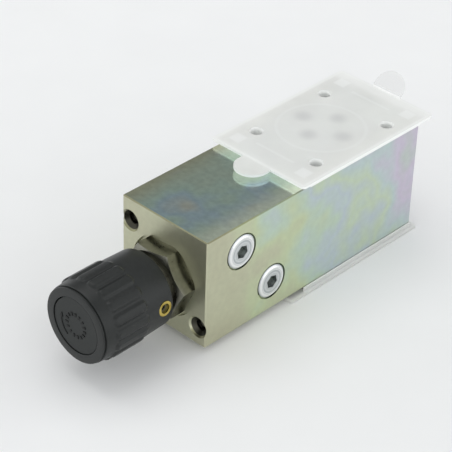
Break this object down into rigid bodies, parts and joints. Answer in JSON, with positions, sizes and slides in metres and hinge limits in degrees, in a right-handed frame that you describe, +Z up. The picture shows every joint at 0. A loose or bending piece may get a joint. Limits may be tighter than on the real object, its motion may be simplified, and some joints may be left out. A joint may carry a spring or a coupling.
{
  "type": "hydraulic sandwich valve",
  "caption": "Steel sandwich valve block for a hydraulic stack, with a screw-in relief cartridge, a ribbed hand knob that sets its spring, screw plugs, and plastic covers on both port faces.",
  "frame": {"origin": "under the centre of the port pattern, on the resting face of the lower transport cover", "axes": "+Z up through the port pattern, -Y out of the knob end, +X out of the side with the screw plugs"},
  "size_m": [0.048, 0.1755, 0.0598],
  "materials": {
    "zinc_plated_steel": "zinc plated, iridescent, satin",
    "sleeve_steel": "zinc plated, satin",
    "bright_steel": "turned, bright",
    "hard_steel": "hardened, satin",
    "knob_plastic": "moulded, fine matt",
    "milky_plastic": "moulded, milky",
    "white_plastic": "smooth",
    "brass": "turned",
    "rubber": "matt"
  },
  "bodies": {
    "valve": {"valve_block": "zinc_plated_steel", "top_cover": "milky_plastic", "bottom_cover": "milky_plastic", "gallery_plugs": "hard_steel", "upper_screw_plug": "bright_steel", "lower_screw_plug": "bright_steel", "upper_plug_seal": "rubber", "lower_plug_seal": "rubber", "pressure_port_seal": "rubber", "tank_port_seal": "rubber", "port_a_seal": "rubber", "port_b_seal": "rubber", "cartridge_sleeve": "sleeve_steel", "head_seal": "rubber", "nose_seal": "rubber", "nose_backup_ring": "white_plastic", "valve_seat": "hard_steel"},
    "poppet": {"poppet": "bright_steel", "relief_spring": "hard_steel"},
    "plate": {"spring_plate": "bright_steel"},
    "adjuster": {"adjusting_spindle": "bright_steel", "spindle_seal": "rubber", "stop_ring": "hard_steel", "knob": "knob_plastic", "knob_cap": "knob_plastic", "knob_screw": "hard_steel", "knob_washer": "bright_steel", "lock_insert": "brass", "lock_screw": "hard_steel"}
  },
  "joints": [
    {"name": "plate_slide", "type": "slide", "parent": "valve", "child": "plate", "axis": [0, 1, 0], "range_m": [-0.0015, 0.003], "deforming": ["relief_spring"]},
    {"name": "knob_turn", "type": "hinge", "parent": "plate", "child": "adjuster", "pos_m": [0, -0.08525, 0.02455], "axis": [0, 1, 0], "range_deg": [-360, 720]},
    {"name": "poppet_lift", "type": "slide", "parent": "valve", "child": "poppet", "axis": [0, -1, 0], "range_m": [0, 0.0012], "stiffness_N_per_m": 2000, "springref_m": -0.002, "deforming": ["relief_spring"]}
  ],
  "couplings": [
    {"joint": "knob_turn", "follows": "plate_slide", "rad_per_m": 4188.8}
  ]
}
